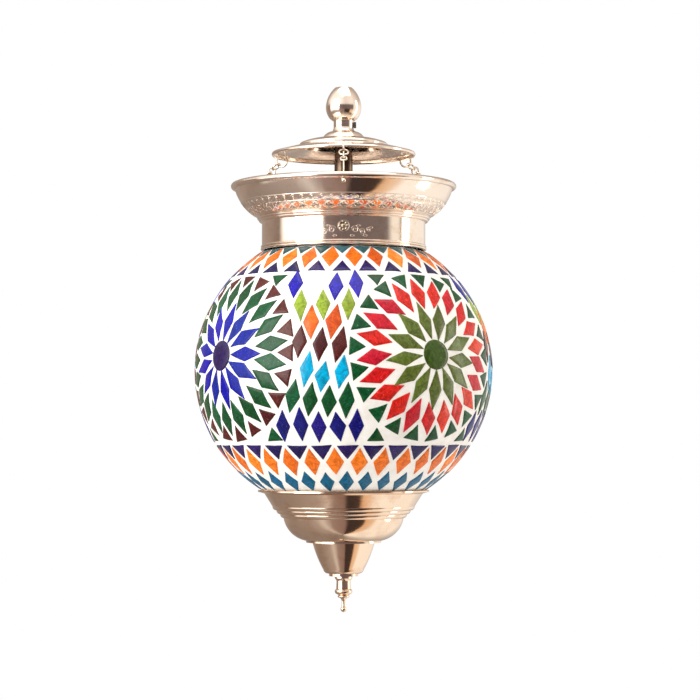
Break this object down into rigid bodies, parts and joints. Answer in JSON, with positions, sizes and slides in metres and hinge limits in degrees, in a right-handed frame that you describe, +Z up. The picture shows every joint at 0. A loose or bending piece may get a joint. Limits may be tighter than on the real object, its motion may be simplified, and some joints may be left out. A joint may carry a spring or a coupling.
{
  "type": "hanging lantern",
  "caption": "Hanging glass globe lantern set with coloured glass chips, with a polished cap, chain-hung collar, turned base and finial, and a lamp holder inside.",
  "frame": {"origin": "centre of the knob's threaded mouth, at the top of the lantern, where it hangs", "axes": "+Z up along the lantern's axis; -Y is the front, where the front chain hangs"},
  "size_m": [0.2004, 0.2004, 0.3522],
  "materials": {
    "cap_brass": "polished, pale warm plating",
    "base_brass": "polished, a little more golden",
    "antique_brass": "dark bronze, satin",
    "chain_brass": "bright drawn wire",
    "contact_brass": "bare pressed brass",
    "screw_brass": "cross-slotted head",
    "screw_steel": "blackened",
    "tube_steel": "zinc plated",
    "cap_steel": "rolled thread",
    "solder": "dull solder",
    "holder_plastic": "black moulded",
    "porcelain": "glazed",
    "bulb_glass": "frosted",
    "packing": "matte",
    "clear_glass": "clear blown glass",
    "grout": "fine white cement grout",
    "gem_glass": "domed cast glass",
    "chip_teal": "smooth coloured glass, hand cut",
    "chip_orange": "smooth coloured glass, hand cut",
    "chip_indigo": "smooth coloured glass, hand cut",
    "chip_petrol": "smooth coloured glass, hand cut",
    "chip_blue": "smooth coloured glass, hand cut",
    "chip_lime": "smooth coloured glass, hand cut",
    "chip_maroon": "smooth coloured glass, hand cut",
    "chip_cyan": "smooth coloured glass, hand cut",
    "chip_green": "smooth coloured glass, hand cut",
    "chip_navy": "smooth coloured glass, hand cut",
    "chip_olive": "smooth coloured glass, hand cut",
    "chip_red": "smooth coloured glass, hand cut"
  },
  "bodies": {
    "hanger": {"knob": "cap_brass", "neck_sleeve": "cap_brass", "stem_tube": "tube_steel", "stem_sleeve": "antique_brass", "top_cap": "cap_brass", "cap_washer": "tube_steel", "cap_locknut": "tube_steel", "holder_dome": "holder_plastic", "holder_body": "holder_plastic", "holder_insert": "porcelain", "screw_shell": "contact_brass", "centre_contact": "contact_brass"},
    "set_screw": {"set_screw": "screw_steel"},
    "bulb": {"bulb_glass": "bulb_glass", "bulb_cap": "cap_steel", "bulb_contact": "solder"},
    "bowl": {"collar": "cap_brass", "rosette_screws": "screw_brass", "neck_packing": "packing", "globe_glass": "clear_glass", "grout_bed": "grout", "chips_teal": "chip_teal", "chips_orange": "chip_orange", "chips_indigo": "chip_indigo", "chips_petrol": "chip_petrol", "chips_blue": "chip_blue", "chips_lime": "chip_lime", "chips_maroon": "chip_maroon", "chips_cyan": "chip_cyan", "chips_green": "chip_green", "chips_navy": "chip_navy", "chips_olive": "chip_olive", "chips_red": "chip_red", "medallion_gems": "gem_glass", "base_cup": "base_brass", "base_flange": "base_brass", "lower_cup": "base_brass", "finial_washer": "base_brass", "clamp_plate": "tube_steel", "tie_washer": "tube_steel", "tie_nut": "tube_steel"},
    "finial": {"finial": "base_brass"},
    "chain_front": {"cap_ring_front": "chain_brass", "round_ring_front": "chain_brass", "small_ring_front": "chain_brass", "rim_hook_front": "chain_brass"},
    "chain_right": {"cap_ring_right": "chain_brass", "round_ring_right": "chain_brass", "small_ring_right": "chain_brass", "rim_hook_right": "chain_brass"},
    "chain_left": {"cap_ring_left": "chain_brass", "round_ring_left": "chain_brass", "small_ring_left": "chain_brass", "rim_hook_left": "chain_brass"}
  },
  "joints": [
    {"name": "bowl_swing", "type": "hinge", "parent": "hanger", "child": "bowl", "pos_m": [0, 0, -0.00593], "axis": [1, 0, 0], "range_deg": [-3, 3]},
    {"name": "chain_front_swing", "type": "hinge", "parent": "hanger", "child": "chain_front", "pos_m": [0, -0.0456, -0.04378], "axis": [1, 0, 0], "range_deg": [-8, 8]},
    {"name": "chain_right_swing", "type": "hinge", "parent": "hanger", "child": "chain_right", "pos_m": [0.03949, 0.0228, -0.04378], "axis": [1, 0, 0], "range_deg": [-8, 8]},
    {"name": "chain_left_swing", "type": "hinge", "parent": "hanger", "child": "chain_left", "pos_m": [-0.03949, 0.0228, -0.04378], "axis": [1, 0, 0], "range_deg": [-8, 8]},
    {"name": "set_screw_turn", "type": "hinge", "parent": "hanger", "child": "set_screw", "pos_m": [0.006, 0, -0.0252], "axis": [1, 0, 0], "continuous": true},
    {"name": "bulb_turn", "type": "hinge", "parent": "hanger", "child": "bulb", "pos_m": [0, 0, -0.16], "axis": [0, 0, 1], "continuous": true},
    {"name": "finial_turn", "type": "hinge", "parent": "bowl", "child": "finial", "pos_m": [0, 0, -0.33], "axis": [0, 0, 1], "continuous": true}
  ],
  "couplings": [
    {"joint": "chain_front_swing", "follows": "bowl_swing", "ratio": 2.6228},
    {"joint": "chain_right_swing", "follows": "bowl_swing", "ratio": 2.6228},
    {"joint": "chain_left_swing", "follows": "bowl_swing", "ratio": 2.6228}
  ]
}
